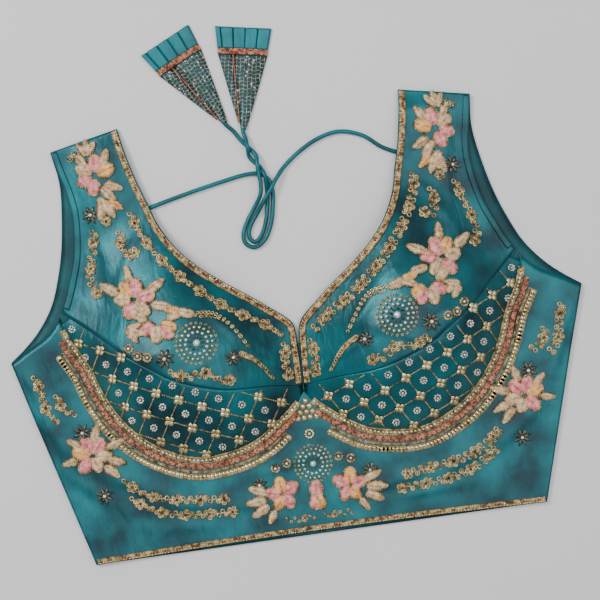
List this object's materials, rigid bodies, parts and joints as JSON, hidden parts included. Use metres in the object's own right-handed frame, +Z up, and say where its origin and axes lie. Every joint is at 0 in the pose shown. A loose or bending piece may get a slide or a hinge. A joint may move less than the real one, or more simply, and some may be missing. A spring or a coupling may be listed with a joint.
{
  "type": "choli blouse laid flat",
  "caption": "Sleeveless padded choli blouse laid flat, embroidered front with moulded cups, plain back, and a back-neck tie with tassels.",
  "frame": {"origin": "on the surface it lies on, at the middle of the garment's footprint without the tie", "axes": "+Z up from the surface to the front's outside, +Y from hem to shoulders, +X across to the right as seen from above"},
  "size_m": [0.484, 0.4392, 0.0435],
  "materials": {
    "silk_satin": "satin",
    "back_satin": "satin",
    "dori_satin": "satin",
    "zari_braid": "satin",
    "sequins": "polished",
    "coral_braid": "matt",
    "embroidery_thread": "matt",
    "glass_stones": "polished"
  },
  "bodies": {
    "root": {"back_left": "back_satin", "back_right": "back_satin", "yoke_left": "silk_satin", "yoke_right": "silk_satin", "cup_lower_left": "silk_satin", "cup_lower_right": "silk_satin", "midriff": "silk_satin", "armhole_binding_left": "silk_satin", "armhole_binding_right": "silk_satin", "neck_trim_left": "zari_braid", "neck_trim_right": "zari_braid", "hem_trim": "zari_braid", "cup_bead_row_left": "sequins", "cup_bead_row_right": "sequins", "cup_braid_left": "coral_braid", "cup_braid_right": "coral_braid", "cup_sequin_row_left": "sequins", "cup_sequin_row_right": "sequins", "dori_left": "dori_satin", "dori_right": "dori_satin", "latkan_left_cone": "silk_satin", "latkan_left_cone_fold": "silk_satin", "latkan_left_band": "coral_braid", "latkan_left_frill": "dori_satin", "latkan_right_cone": "silk_satin", "latkan_right_cone_fold": "silk_satin", "latkan_right_band": "coral_braid", "latkan_right_frill": "dori_satin"}
  },
  "joints": []
}
